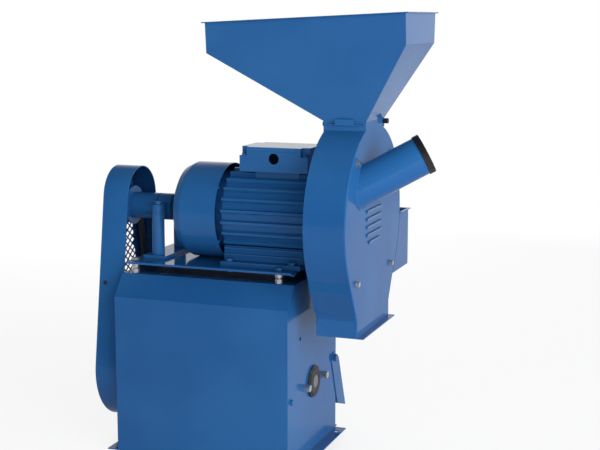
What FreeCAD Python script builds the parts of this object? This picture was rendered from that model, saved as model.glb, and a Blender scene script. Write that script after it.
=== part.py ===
import FreeCAD, Part
import math
import os
from FreeCAD import Vector

# A farmyard grain mill with a corn sheller below it, on one electric motor.
# Millimetres, +Z up, +X along the motor shaft towards the mill, +Y to the rear.
# The origin is on the floor, in the middle of the four foot bolts.

# Cabinet: a folded sheet box that holds the sheller and carries the motor.
cabinet_length = 350.0
cabinet_depth = 274.0
cabinet_height = 343.0
chamfer_height = 40.0
chamfer_depth = 35.0
top_flange = 24.0
sheet = 2.0
joint_flange = 15.0
foot_flange = 22.5
foot_bolt_spacing_x = cabinet_length + 22.0
foot_bolt_spacing_y = cabinet_depth - 54.0
foot_hole_radius = 4.5
front_foot = 25.0
rear_foot = 15.0
left_face = -cabinet_length / 2
right_face = cabinet_length / 2
front_face = -cabinet_depth / 2
rear_face = cabinet_depth / 2
bearing_hole_radius = 27.0
bearing_bolt_offset = 49.5
bearing_bolt_radius = 4.0
panel_screw_y = -119.0
panel_screw_z = 128.0
panel_screw_radius = 3.0
screw_gap = 0.25

# The two shafts, both in the plane Y = 0.
sheller_axis_z = 136.0
plate_gap = 20.0
plate_thickness = 4.0
motor_shaft_height = 92.0
shaft_radius = 12.0
sheller_shaft_radius = 12.5
running_gap = 0.05
plate_bottom_z = cabinet_height + plate_gap
plate_top_z = plate_bottom_z + plate_thickness
motor_axis_z = plate_top_z + motor_shaft_height

# Motor plate on four threaded studs above the cabinet.
plate_start = left_face + 13.0
plate_end = right_face - 2.0
plate_depth = cabinet_depth - 50.0
stud_radius = 4.0
stud_inset_left = 11.0
stud_inset_right = 31.0
stud_inset_y = 19.0
stud_head = 5.5
nut_across_flats = 13.0
nut_height = 9.0
thin_nut = 6.5

# Motor with its fan cowl and terminal box.
motor_start = 21.0
motor_end = 195.0
cowl_radius = 91.5
cowl_start = motor_start - 108.0
cowl_end = motor_start - 8.0
cowl_dome = 29.0
cowl_sheet = 2.0
shield_start = cowl_end - 12.0
shield_end = motor_end + 22.0
fin_tip_radius = 85.0
fin_root_radius = 77.0
frame_bore_radius = 70.0
fin_count = 24
stator_start = 48.0
stator_end = 158.0
air_gap_radius = 45.0
foot_spacing_x = 125.0
foot_spacing_y = 152.0
first_foot_x = 36.5
foot_rail_start = motor_start
foot_rail_end = 180.0
foot_rail_reach = 85.0
foot_rail_inner = 44.0
foot_rail_height = 8.0
box_start = 49.0
box_end = 184.0
box_front = -55.0
box_rear = 43.0
box_bottom = motor_axis_z + 83.0
box_split = motor_axis_z + 121.0
box_top = motor_axis_z + 129.0
cable_hole_radius = 10.0
cable_hole_x = 117.0
cable_hole_z = motor_axis_z + 108.0

# Belt drive, its outboard bearing and its guard at the left end.
guard_gap = 8.0
guard_width = 53.0
guard_top_radius = 60.0
guard_bottom_radius = 109.0
guard_top_z = motor_axis_z + 18.0
guard_bottom_z = sheller_axis_z + 6.0
guard_sheet = 2.0
guard_flange = 12.0
guard_screws_at = [(-58.0, 62.0), (58.0, 62.0), (-84.0, 250.0), (84.0, 250.0)]
guard_tab = 9.0
mesh_thickness = 1.5
mesh_diamond_length = 20.0
mesh_diamond_height = 15.0
mesh_strand = 3.0
upper_pulley_radius = 38.0
lower_pulley_radius = 95.0
pulley_width = 22.0
pulley_middle = left_face - guard_gap - guard_width / 2
pulley_hub_radius = 26.0
groove_width = 13.0
groove_depth = 12.0
groove_floor_width = 5.5
belt_gap = 0.35
belt_height = 9.0
bearing_block_radius = 26.0
bearing_block_start = cowl_start - 52.0
bearing_block_end = cowl_start - 24.0
post_radius = 12.0
post_spacing = 94.0

# Hammer mill on the motor's right end.
mill_start = shield_end
mill_width = 78.0
mill_radius = 174.0
mill_wall = 3.0
cover_thickness = 4.0
cover_face = mill_start + mill_width
cover_back = cover_face - cover_thickness
chute_half_width = 101.0
chute_shoulder_z = motor_axis_z - mill_radius
chute_bottom_z = chute_shoulder_z - 32.0
bag_lip = 12.0
cover_bolt_y = 108.0
upper_cover_bolt = 112.0
lower_cover_bolt = 103.5
cover_bolt_radius = 3.0
boss_radius = 9.5
drum_radius = 140.0
drum_tooth_radius = 134.0
screen_thickness = 2.0
rotor_start_gap = 4.0
rotor_disc_radius = 84.0
rotor_disc_thickness = 6.0
rotor_hub_radius = 24.0
rotor_hub_length = 54.0
pin_circle_radius = 68.0
pin_radius = 6.0
hammer_width = 30.0
hammer_reach = 62.0
hammer_half_height = 12.0
hammer_eye_radius = 14.0
louvre_count = 5
louvre_pitch = 14.5
louvre_length = 90.0
louvre_rise = 3.5

# Neck, gate and hopper on top of the mill.
neck_half_depth = 54.0
neck_wall = 3.0
band_half_depth = 58.0
band_bottom_z = motor_axis_z + mill_radius - 4.5
band_top_z = band_bottom_z + 11.5
band_skirt = 9.5
gate_thickness = 2.5
gate_bottom_z = band_bottom_z + 5.0
gate_travel = 85.0
hopper_sheet = 2.0
hopper_left = 1.0
hopper_right = 378.0
hopper_fold_left_z = band_top_z + 120.0
hopper_fold_right_z = band_top_z + 137.5
hopper_band_height = 56.0
hopper_half_depth = 98.0
hopper_band_flare = 5.0
hopper_lip = 5.0

# Feed tube on the mill's cover.
tube_radius = 35.0
tube_wall = 2.0
tube_length = 127.0
tube_base_y = -76.0
tube_base_z = motor_axis_z + 68.0
tube_turn = 21.4
tube_rise = 27.8
collar_wall = 1.6
collar_length = 12.0

# Sheller inside the cabinet, with its inlet, outlet and flap in the rear panel.
disc_thickness = 12.0
disc_x = right_face - 117.0
disc_hub_length = 22.0
disc_radius = 112.0
disc_tooth_height = 9.0
inlet_x = (right_face - 95.0, right_face - 19.0)
inlet_z = (cabinet_height - 77.0, cabinet_height - 13.0)
outlet_x = (right_face - 155.0, right_face - 19.0)
outlet_z = (36.0, 140.0)
pressure_pivot_x = right_face - 57.0
pressure_pivot_y = 88.0
pressure_pin_radius = 5.0
pressure_plate_x = right_face - 74.0
pressure_plate_z = (sheller_axis_z + 30.0, sheller_axis_z + 126.0)
spring_y = -70.0
spring_z = sheller_axis_z + 100.0
spring_radius = 9.0
spring_wire = 1.4
spring_turns = 5
flap_pivot_y = rear_face - 14.0
flap_pivot_z = outlet_z[1] + 11.0
flap_pin_radius = 4.0
flap_reach = 73.0
flap_drop = 117.0

# Ear trough behind the machine.
trough_left = right_face - 115.0
trough_outer_y = rear_face + 99.0
trough_top_z = motor_axis_z - 14.0
trough_floor_z = motor_axis_z - 128.0
trough_low_floor_z = inlet_z[0] - 4.0
trough_lip = 4.0
trough_gap = 0.5

PIECES = {}


def keep(name, shape):
    PIECES[name] = shape
    return shape


def keep_with(name, shape):
    """Add more separate solids to a node that is a group of like pieces."""
    others = PIECES[name].Solids if name in PIECES else []
    PIECES[name] = Part.makeCompound(others + shape.Solids)


def block(x, y, z):
    return Part.makeBox(x[1] - x[0], y[1] - y[0], z[1] - z[0], Vector(x[0], y[0], z[0]))


def rod_x(x, y, z, radius):
    return Part.makeCylinder(radius, x[1] - x[0], Vector(x[0], y, z), Vector(1, 0, 0))


def rod_y(x, y, z, radius):
    return Part.makeCylinder(radius, y[1] - y[0], Vector(x, y[0], z), Vector(0, 1, 0))


def rod_z(x, y, z, radius):
    return Part.makeCylinder(radius, z[1] - z[0], Vector(x, y, z[0]), Vector(0, 0, 1))


def prism(corners, along):
    face = Part.Face(Part.makePolygon(corners + [corners[0]]))
    return face.extrude(along)


def prism_x(points, x):
    return prism([Vector(x[0], y, z) for y, z in points], Vector(x[1] - x[0], 0, 0))


def prism_y(points, y):
    return prism([Vector(px, y[0], pz) for px, pz in points], Vector(0, y[1] - y[0], 0))


def prism_z(points, z):
    return prism([Vector(px, py, z[0]) for px, py in points], Vector(0, 0, z[1] - z[0]))


def joined(shapes):
    return shapes[0].multiFuse(shapes[1:]).removeSplitter()


def apart(shapes):
    return Part.makeCompound(shapes)


def ring_x(x, y, z, outer, inner):
    return rod_x(x, y, z, outer).cut(rod_x(x, y, z, inner))


def hexagon(middle, radius):
    angles = [math.radians(60 * corner + 30) for corner in range(6)]
    return [(middle[0] + radius * math.cos(a), middle[1] + radius * math.sin(a)) for a in angles]


def across_flats(width):
    return width / math.sqrt(3)


def signs():
    return [(-1, -1), (1, -1), (1, 1), (-1, 1)]


def bent_strip(path, thickness):
    """Outline of a folded sheet: the path and its copy at one thickness, mitred."""
    normals = []
    for a, b in zip(path, path[1:]):
        run = math.hypot(b[0] - a[0], b[1] - a[1])
        normals.append(((a[1] - b[1]) / run, (b[0] - a[0]) / run))
    before = [normals[0]] + normals
    after = normals + [normals[-1]]
    other_side = []
    for point, a, b in zip(path, before, after):
        reach = thickness / (1 + a[0] * b[0] + a[1] * b[1])
        other_side.append((point[0] + (a[0] + b[0]) * reach, point[1] + (a[1] + b[1]) * reach))
    return path + other_side[::-1]


def inset(points, distance):
    """A closed outline, anticlockwise, moved inwards by the distance."""
    closed = [points[-1]] + points + [points[0]]
    moved = []
    for a, b, c in zip(closed, closed[1:], closed[2:]):
        first = math.hypot(b[0] - a[0], b[1] - a[1])
        second = math.hypot(c[0] - b[0], c[1] - b[1])
        m = ((a[1] - b[1]) / first, (b[0] - a[0]) / first)
        n = ((b[1] - c[1]) / second, (c[0] - b[0]) / second)
        reach = distance / (1 + m[0] * n[0] + m[1] * n[1])
        moved.append((b[0] + (m[0] + n[0]) * reach, b[1] + (m[1] + n[1]) * reach))
    return moved


def belt_outline(x, upper, lower, top_z=motor_axis_z, low_z=sheller_axis_z):
    """Two circles, by default about the shafts, and their outer tangents."""
    rise = math.asin((lower - upper) / (top_z - low_z))
    c, s = math.cos(rise), math.sin(rise)
    top_right = Vector(x, upper * c, top_z + upper * s)
    top_left = Vector(x, -upper * c, top_z + upper * s)
    low_right = Vector(x, lower * c, low_z + lower * s)
    low_left = Vector(x, -lower * c, low_z + lower * s)
    over = Part.Arc(top_right, Vector(x, 0, top_z + upper), top_left).toShape()
    under = Part.Arc(low_left, Vector(x, 0, low_z - lower), low_right).toShape()
    left = Part.LineSegment(top_left, low_left).toShape()
    right = Part.LineSegment(low_right, top_right).toShape()
    return Part.Wire([over, left, under, right])


def guard_slab(x, offset):
    """The guard's outline, moved inwards by the offset."""
    outline = belt_outline(x[0], guard_top_radius - offset, guard_bottom_radius - offset,
                           guard_top_z, guard_bottom_z)
    return Part.Face(outline).extrude(Vector(x[1] - x[0], 0, 0))


def revolved_x(points, axis_z):
    """A ring about the X axis at the height given, from (x, radius) points."""
    corners = [Vector(px, 0, axis_z + radius) for px, radius in points]
    face = Part.Face(Part.makePolygon(corners + [corners[0]]))
    return face.revolve(Vector(0, 0, axis_z), Vector(1, 0, 0), 360)


def hex_bolt_x(seat_x, y, z, radius, flats, head, length, facing):
    """A hexagon bolt along X: its head outside the seat, its shank going in."""
    head_end = seat_x + facing * head
    shank_end = seat_x - facing * length
    head_x = (min(seat_x, head_end), max(seat_x, head_end))
    shank_x = (min(seat_x, shank_end), max(seat_x, shank_end))
    hexagon_head = prism_x(hexagon((y, z), across_flats(flats)), head_x)
    return joined([hexagon_head, rod_x(shank_x, y, z, radius)])


# Cabinet of folded sheet. The side panels cover the ends of the other three.

def side_outline():
    return [(front_face, 0), (rear_face, 0), (rear_face, cabinet_height),
            (front_face + chamfer_depth, cabinet_height), (front_face, cabinet_height - chamfer_height)]


def side_panel(outer, inward):
    """outer is the panel's outer face; inward is the X direction into the cabinet."""
    skin = (min(outer, outer + inward * sheet), max(outer, outer + inward * sheet))
    inner = outer + inward * sheet
    lap = (min(inner, inner + inward * joint_flange), max(inner, inner + inward * joint_flange))
    foot = (min(outer, outer - inward * foot_flange), max(outer, outer - inward * foot_flange))
    chamfer_start = cabinet_height - chamfer_height
    front_lap = (front_face + sheet, front_face + 2 * sheet)
    rear_lap = (rear_face - 2 * sheet, rear_face - sheet)
    top_lap = (front_face + chamfer_depth + top_flange + sheet, rear_face - 2 * sheet)
    panel = joined([
        prism_x(side_outline(), skin),
        block(foot, (front_face, rear_face), (0, sheet)),
        block(lap, front_lap, (sheet, chamfer_start - 2 * sheet)),
        block(lap, rear_lap, (sheet, cabinet_height - sheet)),
        block(lap, top_lap, (cabinet_height - 2 * sheet, cabinet_height - sheet))])
    holes = [rod_x(skin, 0, sheller_axis_z, bearing_hole_radius)]
    for side in (-1, 1):
        y = side * bearing_bolt_offset
        holes.append(rod_x(skin, y, sheller_axis_z, bearing_bolt_radius + screw_gap))
        foot_y = side * foot_bolt_spacing_y / 2
        foot_x = -inward * foot_bolt_spacing_x / 2
        holes.append(rod_z(foot_x, foot_y, (0, sheet), foot_hole_radius))
    return panel.cut(apart(holes)), skin


def cabinet():
    between = (left_face + sheet, right_face - sheet)
    flange_end = front_face + chamfer_depth + top_flange
    front_path = [(flange_end, cabinet_height), (front_face + chamfer_depth, cabinet_height),
                  (front_face, cabinet_height - chamfer_height), (front_face, 0),
                  (front_face + front_foot, 0)]
    stud_holes = [rod_z(x, y, (cabinet_height - sheet, cabinet_height), stud_radius + screw_gap)
                  for x, y in stud_places()]
    front = prism_x(bent_strip(front_path, sheet), between)
    keep("cabinet_front_panel", front.cut(apart(stud_holes)))

    rear_path = [(rear_face + rear_foot, 0), (rear_face - sheet, 0),
                 (rear_face - sheet, cabinet_height - sheet)]
    rear = prism_x(bent_strip(rear_path, -sheet), between)
    skin = (rear_face - sheet, rear_face)
    cheek_slot = (outlet_x[0] - 0.5, outlet_x[0] + 4.0)
    rear = rear.cut(apart([
        block(inlet_x, skin, inlet_z),
        block(outlet_x, skin, outlet_z),
        block(cheek_slot, skin, (outlet_z[1], flap_pivot_z + 24.0))]))
    keep("cabinet_rear_panel", rear)

    top = block(between, (flange_end, rear_face), (cabinet_height - sheet, cabinet_height))
    keep("cabinet_top", top.cut(apart(stud_holes)))

    right, skin = side_panel(right_face, -1)
    right = right.cut(apart([
        rod_x(skin, spring_y, spring_z, 4.0),
        rod_x(skin, panel_screw_y, panel_screw_z, panel_screw_radius + screw_gap),
        rod_x(skin, flap_pivot_y, flap_pivot_z, flap_pin_radius + running_gap)]))
    keep("right_side_panel", right)
    left, skin = side_panel(left_face, 1)
    keep("left_side_panel", left.cut(apart([
        rod_x(skin, y, z, panel_screw_radius + screw_gap) for y, z in guard_screws_at])))
    keep_with("panel_screws", hex_bolt_x(right_face, panel_screw_y, panel_screw_z,
                                   panel_screw_radius, 10.0, 4.5, 9.0, 1))


def stud_places():
    x0 = plate_start + stud_inset_left
    x1 = plate_end - stud_inset_right
    y = plate_depth / 2 - stud_inset_y
    return [(x0, -y), (x1, -y), (x1, y), (x0, y)]


def motor_plate():
    half = plate_depth / 2
    plate = block((plate_start, plate_end), (-half, half), (plate_bottom_z, plate_top_z))
    holes = [rod_z(x, y, (plate_bottom_z, plate_top_z), stud_radius + screw_gap)
             for x, y in stud_places()]
    holes += [rod_z(x, y, (plate_bottom_z, plate_top_z), 4.0 + screw_gap) for x, y in foot_places()]
    holes += [rod_z(x, y, (plate_bottom_z, plate_top_z), 4.0 + screw_gap) for x, y in post_places()]
    keep("motor_plate", plate.cut(apart(holes)))
    studs = []
    nut_radius = across_flats(nut_across_flats)
    for x, y in stud_places():
        head = prism_z(hexagon((x, y), nut_radius), (plate_top_z, plate_top_z + stud_head))
        reach = (cabinet_height - sheet - nut_height, plate_top_z)
        studs.append(joined([head, rod_z(x, y, reach, stud_radius)]))
        for bottom in (cabinet_height - sheet - nut_height, cabinet_height, plate_bottom_z - nut_height):
            span = (bottom, bottom + nut_height)
            nut = prism_z(hexagon((x, y), nut_radius), span)
            studs.append(nut.cut(rod_z(x, y, span, stud_radius + running_gap)))
    keep("plate_studs", apart(studs))


# Belt drive.

def grooved_pulley(radius, bore, axis_z, hub):
    """hub is the X to which the hub runs on, on the pulley's right."""
    x0 = pulley_middle - pulley_width / 2
    x1 = pulley_middle + pulley_width / 2
    lip = groove_width / 2
    floor = groove_floor_width / 2
    return revolved_x([
        (x0, bore), (x0, radius), (pulley_middle - lip, radius),
        (pulley_middle - floor, radius - groove_depth), (pulley_middle + floor, radius - groove_depth),
        (pulley_middle + lip, radius), (x1, radius), (x1, pulley_hub_radius),
        (hub, pulley_hub_radius), (hub, bore)], axis_z)


def belt_drive():
    keep("upper_pulley", grooved_pulley(upper_pulley_radius, shaft_radius, motor_axis_z, bearing_block_start - 2.0))

    lower = grooved_pulley(lower_pulley_radius, sheller_shaft_radius, sheller_axis_z, left_face - 9.0)
    x0 = pulley_middle - pulley_width / 2
    x1 = pulley_middle + pulley_width / 2
    web_inner = pulley_hub_radius + 8.0
    web_outer = lower_pulley_radius - groove_depth - 7.0
    recess = 8.0
    lower = lower.cut(ring_x((x0, x0 + recess), 0, sheller_axis_z, web_outer, web_inner))
    lower = lower.cut(ring_x((x1 - recess, x1), 0, sheller_axis_z, web_outer, web_inner))
    hole_circle = (web_inner + web_outer) / 2
    for number in range(5):
        a = math.radians(72 * number)
        lower = lower.cut(rod_x((x0, x1), hole_circle * math.sin(a),
                                sheller_axis_z + hole_circle * math.cos(a), 18.0))
    keep("sheller_pulley", lower)

    rise = groove_width - groove_floor_width
    slope = rise / 2 / groove_depth
    crown = 0.5
    top_half = groove_width / 2 - belt_gap - crown * slope
    bottom_half = top_half - belt_height * slope
    half_height = belt_height / 2
    upper = upper_pulley_radius - crown - half_height
    lower_radius = lower_pulley_radius - crown - half_height
    path = belt_outline(pulley_middle, upper, lower_radius)
    z = motor_axis_z + upper
    corners = [Vector(pulley_middle - top_half, 0, z + half_height),
               Vector(pulley_middle + top_half, 0, z + half_height),
               Vector(pulley_middle + bottom_half, 0, z - half_height),
               Vector(pulley_middle - bottom_half, 0, z - half_height)]
    section = Part.makePolygon(corners + [corners[0]])
    keep("v_belt", path.makePipeShell([section], True, False))


def guard():
    """A deep rim with mesh on its outer side, held off the cabinet by four tabs."""
    inner_x = left_face - guard_gap
    outer_x = inner_x - guard_width
    t = guard_sheet
    full = (outer_x, inner_x)
    shell = guard_slab(full, 0).cut(guard_slab(full, t))
    flange_x = (outer_x, outer_x + t)
    flange = guard_slab(flange_x, t).cut(guard_slab(flange_x, t + guard_flange))
    tab_x = (inner_x - t, inner_x)
    sleeve_x = (inner_x, left_face)
    parts = [shell, flange]
    holes = []
    screws = []
    for y, z in guard_screws_at:
        side = 1 if y > 0 else -1
        reach_y = (min(y, y + side * 3 * guard_tab), max(y, y + side * 3 * guard_tab))
        tab = block(tab_x, reach_y, (z - guard_tab, z + guard_tab)).common(guard_slab(tab_x, t / 2))
        parts += [tab, rod_x(tab_x, y, z, guard_tab), rod_x(sleeve_x, y, z, guard_tab - 2.0)]
        holes.append(rod_x((tab_x[0], left_face), y, z, panel_screw_radius + screw_gap))
        screws.append(hex_bolt_x(tab_x[0], y, z, panel_screw_radius, 10.0, 4.0, t + guard_gap + sheet + 4.0, -1))
    keep("belt_guard_rim", joined(parts).cut(apart(holes)))
    keep_with("panel_screws", apart(screws))
    keep("guard_mesh", guard_mesh(outer_x + t))


def guard_mesh(x):
    """Expanded metal: a plate with rows of diamond openings, every other row shifted."""
    seat = guard_sheet + 0.3
    half_length = mesh_diamond_length / 2
    half_height = mesh_diamond_height / 2
    open_length = half_length - mesh_strand * 0.7
    open_height = half_height - mesh_strand * 0.5
    clear = seat + guard_flange * 0.5
    clear_upper = guard_top_radius - clear
    clear_lower = guard_bottom_radius - clear
    span = guard_top_z - guard_bottom_z
    rise = math.asin((clear_lower - clear_upper) / span)

    def inside(y, z):
        if math.hypot(y, z - guard_top_z) < clear_upper:
            return True
        if math.hypot(y, z - guard_bottom_z) < clear_lower:
            return True
        along = (z - guard_bottom_z) * math.cos(rise) - abs(y) * math.sin(rise)
        across = (z - guard_bottom_z) * math.sin(rise) + abs(y) * math.cos(rise)
        return 0 < along < span * math.cos(rise) and across < clear_lower

    holes = []
    rows = int((span + clear_upper + clear_lower) / half_height) + 2
    columns = int(2 * clear_lower / mesh_diamond_length) + 3
    for row in range(rows):
        z = guard_bottom_z - clear_lower + row * half_height
        shift = half_length if row % 2 else 0.0
        for column in range(columns):
            y = (column - columns // 2) * mesh_diamond_length + shift
            corners = [(y - open_length, z), (y, z - open_height), (y + open_length, z), (y, z + open_height)]
            if all(inside(cy, cz) for cy, cz in corners):
                holes.append(prism_x(corners, (x, x + mesh_thickness)))
    outline = belt_outline(x, guard_top_radius - seat, guard_bottom_radius - seat, guard_top_z, guard_bottom_z)
    plate = Part.Face(outline).extrude(Vector(mesh_thickness, 0, 0))
    return plate.cut(apart(holes))


def post_places():
    middle = (bearing_block_start + bearing_block_end) / 2
    return [(middle, -post_spacing / 2), (middle, post_spacing / 2)]


def outboard_bearing():
    foot_height = 6.0
    yoke_bottom = motor_axis_z - 9.0
    yoke_top = motor_axis_z + 11.0
    middle = (bearing_block_start + bearing_block_end) / 2
    foot = block((middle - 24.0, middle + 24.0), (-post_spacing / 2 - 18.0, post_spacing / 2 + 18.0),
                 (plate_top_z, plate_top_z + foot_height))
    bolt_radius = 4.0
    column = (plate_bottom_z - nut_height, yoke_top)
    holes = [rod_z(x, y, (plate_top_z, yoke_top), bolt_radius + screw_gap) for x, y in post_places()]
    keep_with("bearing_stand", foot.cut(apart(holes)))
    posts = [rod_z(x, y, (plate_top_z + foot_height, yoke_bottom), post_radius)
             for x, y in post_places()]
    keep_with("bearing_stand", apart([post.cut(hole) for post, hole in zip(posts, holes)]))
    house = rod_x((bearing_block_start, bearing_block_end), 0, motor_axis_z, bearing_block_radius)
    yoke = block((middle - 9.0, middle + 9.0), (-post_spacing / 2, post_spacing / 2), (yoke_bottom, yoke_top))
    ears = [rod_z(x, y, (yoke_bottom, yoke_top), post_radius) for x, y in post_places()]
    bore = rod_x((bearing_block_start, bearing_block_end), 0, motor_axis_z, shaft_radius + running_gap)
    keep("bearing_block", joined([house, yoke] + ears).cut(apart([bore] + holes)))
    bolts = []
    for x, y in post_places():
        head = prism_z(hexagon((x, y), across_flats(13.0)), (yoke_top, yoke_top + stud_head))
        nut = prism_z(hexagon((x, y), across_flats(13.0)), (plate_bottom_z - thin_nut, plate_bottom_z))
        bolts.append(joined([head, nut, rod_z(x, y, column, bolt_radius)]))
    keep_with("motor_bolts", apart(bolts))


# Motor.

def fin_profile():
    points = []
    step = 2 * math.pi / fin_count
    for fin in range(fin_count):
        for share, radius in ((0.31, fin_root_radius), (0.39, fin_tip_radius),
                              (0.61, fin_tip_radius), (0.69, fin_root_radius)):
            a = (fin + share) * step
            points.append((radius * math.cos(a), motor_axis_z + radius * math.sin(a)))
    return points


def foot_places():
    half = foot_spacing_y / 2
    return [(x, y) for x in (first_foot_x, first_foot_x + foot_spacing_x) for y in (-half, half)]


def motor():
    body = prism_x(fin_profile(), (motor_start, motor_end))
    bore = rod_x((motor_start, motor_end), 0, motor_axis_z, frame_bore_radius)
    frame = keep("motor_frame", body.cut(bore))
    keep("stator", ring_x((stator_start, stator_end), 0, motor_axis_z, frame_bore_radius, air_gap_radius + 0.4))
    keep("rotor_core", ring_x((stator_start, stator_end), 0, motor_axis_z, air_gap_radius, 16.0))

    seat = 26.0
    rear_shield = ring_x((shield_start, motor_start), 0, motor_axis_z, fin_root_radius, seat)
    keep_with("motor_end_shields", rear_shield)
    front_shield = revolved_x([
        (motor_end, seat), (motor_end, fin_tip_radius), (motor_end + 8.0, fin_tip_radius + 2.0),
        (shield_end, fin_tip_radius + 2.0), (shield_end, seat)], motor_axis_z)
    keep_with("motor_end_shields", front_shield)
    bearings = [ring_x((motor_start - 17.0, motor_start - 3.0), 0, motor_axis_z, seat, shaft_radius + running_gap),
                ring_x((motor_end + 4.0, motor_end + 18.0), 0, motor_axis_z, seat, shaft_radius + running_gap)]
    keep("motor_bearings", apart(bearings))

    rotor_face = mill_start + mill_wall + rotor_start_gap
    shaft_end = rotor_face + rotor_hub_length
    shaft = joined([
        rod_x((pulley_middle - pulley_width / 2, shaft_end), 0, motor_axis_z, shaft_radius),
        rod_x((motor_start + 8.0, motor_end - 4.0), 0, motor_axis_z, 16.0)])
    keep("motor_shaft", shaft.cut(rod_x((shaft_end - 20.0, shaft_end), 0, motor_axis_z, 6.0)))

    fan_x = (shield_start - 55.0, shield_start - 23.0)
    parts = [rod_x(fan_x, 0, motor_axis_z, 20.0),
             rod_x((fan_x[1] - 3.0, fan_x[1]), 0, motor_axis_z, 62.0)]
    for blade in range(7):
        vane = block(fan_x, (-2.0, 2.0), (motor_axis_z + 15.0, motor_axis_z + 80.0))
        vane.rotate(Vector(0, 0, motor_axis_z), Vector(1, 0, 0), 360 / 7 * blade)
        parts.append(vane)
    fan = joined(parts).cut(rod_x(fan_x, 0, motor_axis_z, shaft_radius))
    keep("motor_fan", fan)

    t = cowl_sheet
    dome_start = cowl_start + cowl_dome
    outer = [(cowl_end, cowl_radius), (dome_start, cowl_radius), (cowl_start + 12.0, cowl_radius - 8.0),
             (cowl_start + 4.0, cowl_radius - 22.0), (cowl_start, cowl_radius - 38.0), (cowl_start, 17.0)]
    inner = [(cowl_start + t, 17.0), (cowl_start + t, cowl_radius - 38.6), (cowl_start + 5.7, cowl_radius - 23.6),
             (cowl_start + 13.2, cowl_radius - 9.7), (dome_start, cowl_radius - t), (cowl_end, cowl_radius - t)]
    cowl = revolved_x(outer + inner, motor_axis_z)
    slots = []
    for number in range(16):
        slot = block((cowl_start - 1.0, cowl_start + t + 1.0), (-3.0, 3.0), (motor_axis_z + 24.0, motor_axis_z + 50.0))
        slot.rotate(Vector(0, 0, motor_axis_z), Vector(1, 0, 0), 22.5 * number)
        slots.append(slot)
    keep("fan_cowl", cowl.cut(apart(slots)))
    screws = []
    for angle in (50, 130, 230, 310):
        screw = rod_z(0, 0, (fin_root_radius + 0.1, cowl_radius), 2.5)
        screw = joined([screw, rod_z(0, 0, (cowl_radius + 0.1, cowl_radius + 2.0), 4.0)])
        screw.rotate(Vector(0, 0, 0), Vector(1, 0, 0), angle)
        screw.translate(Vector(cowl_end - 5.0, 0, motor_axis_z))
        screws.append(screw)
    screws = apart(screws)
    keep_with("motor_screws", screws)
    keep("fan_cowl", PIECES["fan_cowl"].cut(screws))

    seat_z = plate_top_z + foot_rail_height
    rails = []
    for side in (-1, 1):
        edge = (side * foot_rail_inner, side * foot_rail_reach)
        flange = block((foot_rail_start, foot_rail_end), (min(edge), max(edge)), (plate_top_z, seat_z))
        web = [(side * 66.0, seat_z), (side * 63.0, seat_z + 27.0), (side * 50.0, seat_z + 27.0),
               (side * 52.0, seat_z)]
        rails.append(joined([flange, prism_x(web, (motor_start, foot_rail_end)).cut(body)]))
    holes = [rod_z(x, y, (plate_top_z, seat_z), 4.0 + screw_gap) for x, y in foot_places()]
    keep("motor_feet", apart([rail.cut(apart(holes)) for rail in rails]))
    bolts = []
    for x, y in foot_places():
        head = prism_z(hexagon((x, y), across_flats(13.0)), (seat_z, seat_z + stud_head))
        nut = prism_z(hexagon((x, y), across_flats(13.0)), (plate_bottom_z - thin_nut, plate_bottom_z))
        bolts.append(joined([head, nut, rod_z(x, y, (plate_bottom_z - thin_nut - 2.5, seat_z), 4.0)]))
    keep_with("motor_bolts", apart(bolts))
    terminal_box(body)


def terminal_box(body):
    wall = 3.0
    notch = 14.0
    notch_bottom = box_split - 8.0
    length = (box_start, box_end)
    depth = (box_front, box_rear)
    base = block(length, depth, (box_bottom, box_split))
    pedestal = block((box_start + 24.0, box_end - 24.0), (box_front + 20.0, box_rear - 8.0),
                     (box_bottom - 22.0, box_bottom)).cut(body)
    hollow = block((box_start + wall, box_end - wall), (box_front + wall, box_rear - wall),
                   (box_bottom + wall, box_split))
    corners = []
    posts = []
    screws = []
    for sx, sy in signs():
        x = box_start if sx < 0 else box_end
        y = box_front if sy < 0 else box_rear
        span_x = (min(x, x - sx * notch), max(x, x - sx * notch))
        span_y = (min(y, y - sy * notch), max(y, y - sy * notch))
        corners.append(block(span_x, span_y, (notch_bottom, box_top)))
        post_x = (min(x, x - sx * (notch + wall)), max(x, x - sx * (notch + wall)))
        post_y = (min(y, y - sy * (notch + wall)), max(y, y - sy * (notch + wall)))
        posts.append(block(post_x, post_y, (box_bottom, box_split)))
        screws.append(rod_z(x - sx * notch / 2, y - sy * notch / 2, (notch_bottom, notch_bottom + 3.5), 4.5))
    hollow = hollow.cut(apart(posts))
    gland = rod_y(cable_hole_x, (box_front, box_front + wall), cable_hole_z, cable_hole_radius)
    base = joined([base, pedestal]).cut(apart([hollow] + corners + [gland])).cut(body)
    keep("terminal_box", base)
    lid = block(length, depth, (box_split, box_top)).cut(apart(corners))
    keep("terminal_lid", lid)
    keep_with("motor_screws", apart(screws))


# Hammer mill.

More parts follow.
